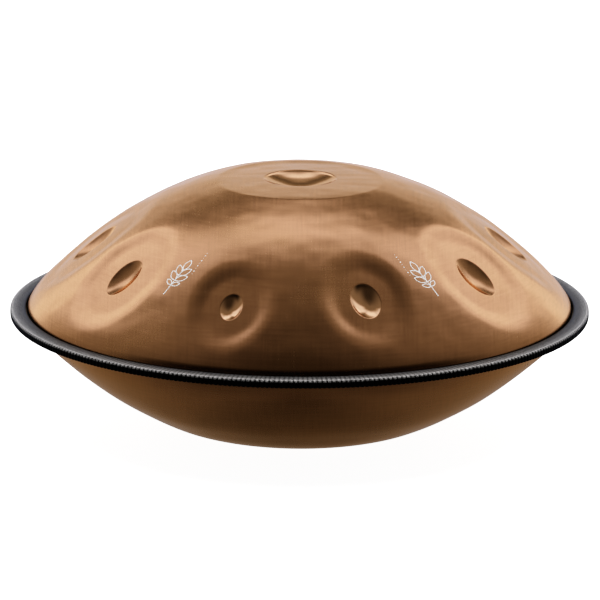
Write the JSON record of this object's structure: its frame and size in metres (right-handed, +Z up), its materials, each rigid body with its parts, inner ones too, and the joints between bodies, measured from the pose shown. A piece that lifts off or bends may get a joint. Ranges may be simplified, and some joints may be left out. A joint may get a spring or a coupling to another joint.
{
  "type": "handpan",
  "caption": "Lens-shaped steel handpan: a domed note shell with dimpled oval tone fields, a plain bowl with a round port below, and a ribbed rubber trim around the joined rims.",
  "frame": {"origin": "centre of the flat base ring, on the floor", "axes": "+Z up through the ding; -Y is the front, where the smallest tone fields are; +Y is the rear, where the largest tone field and the trim's butt joint are"},
  "size_m": [0.54, 0.54, 0.2297],
  "materials": {
    "note_shell_steel": "cross-brushed satin bronze",
    "bowl_steel": "satin bronze",
    "trim_rubber": "matte, ribbed",
    "carrier_steel": "mill",
    "adhesive": "cured structural adhesive"
  },
  "bodies": {
    "root": {"top_shell": "note_shell_steel", "bottom_shell": "bowl_steel", "flange_adhesive": "adhesive", "rim_trim": "trim_rubber", "trim_carrier": "carrier_steel", "trim_end_glue": "adhesive"}
  },
  "joints": []
}
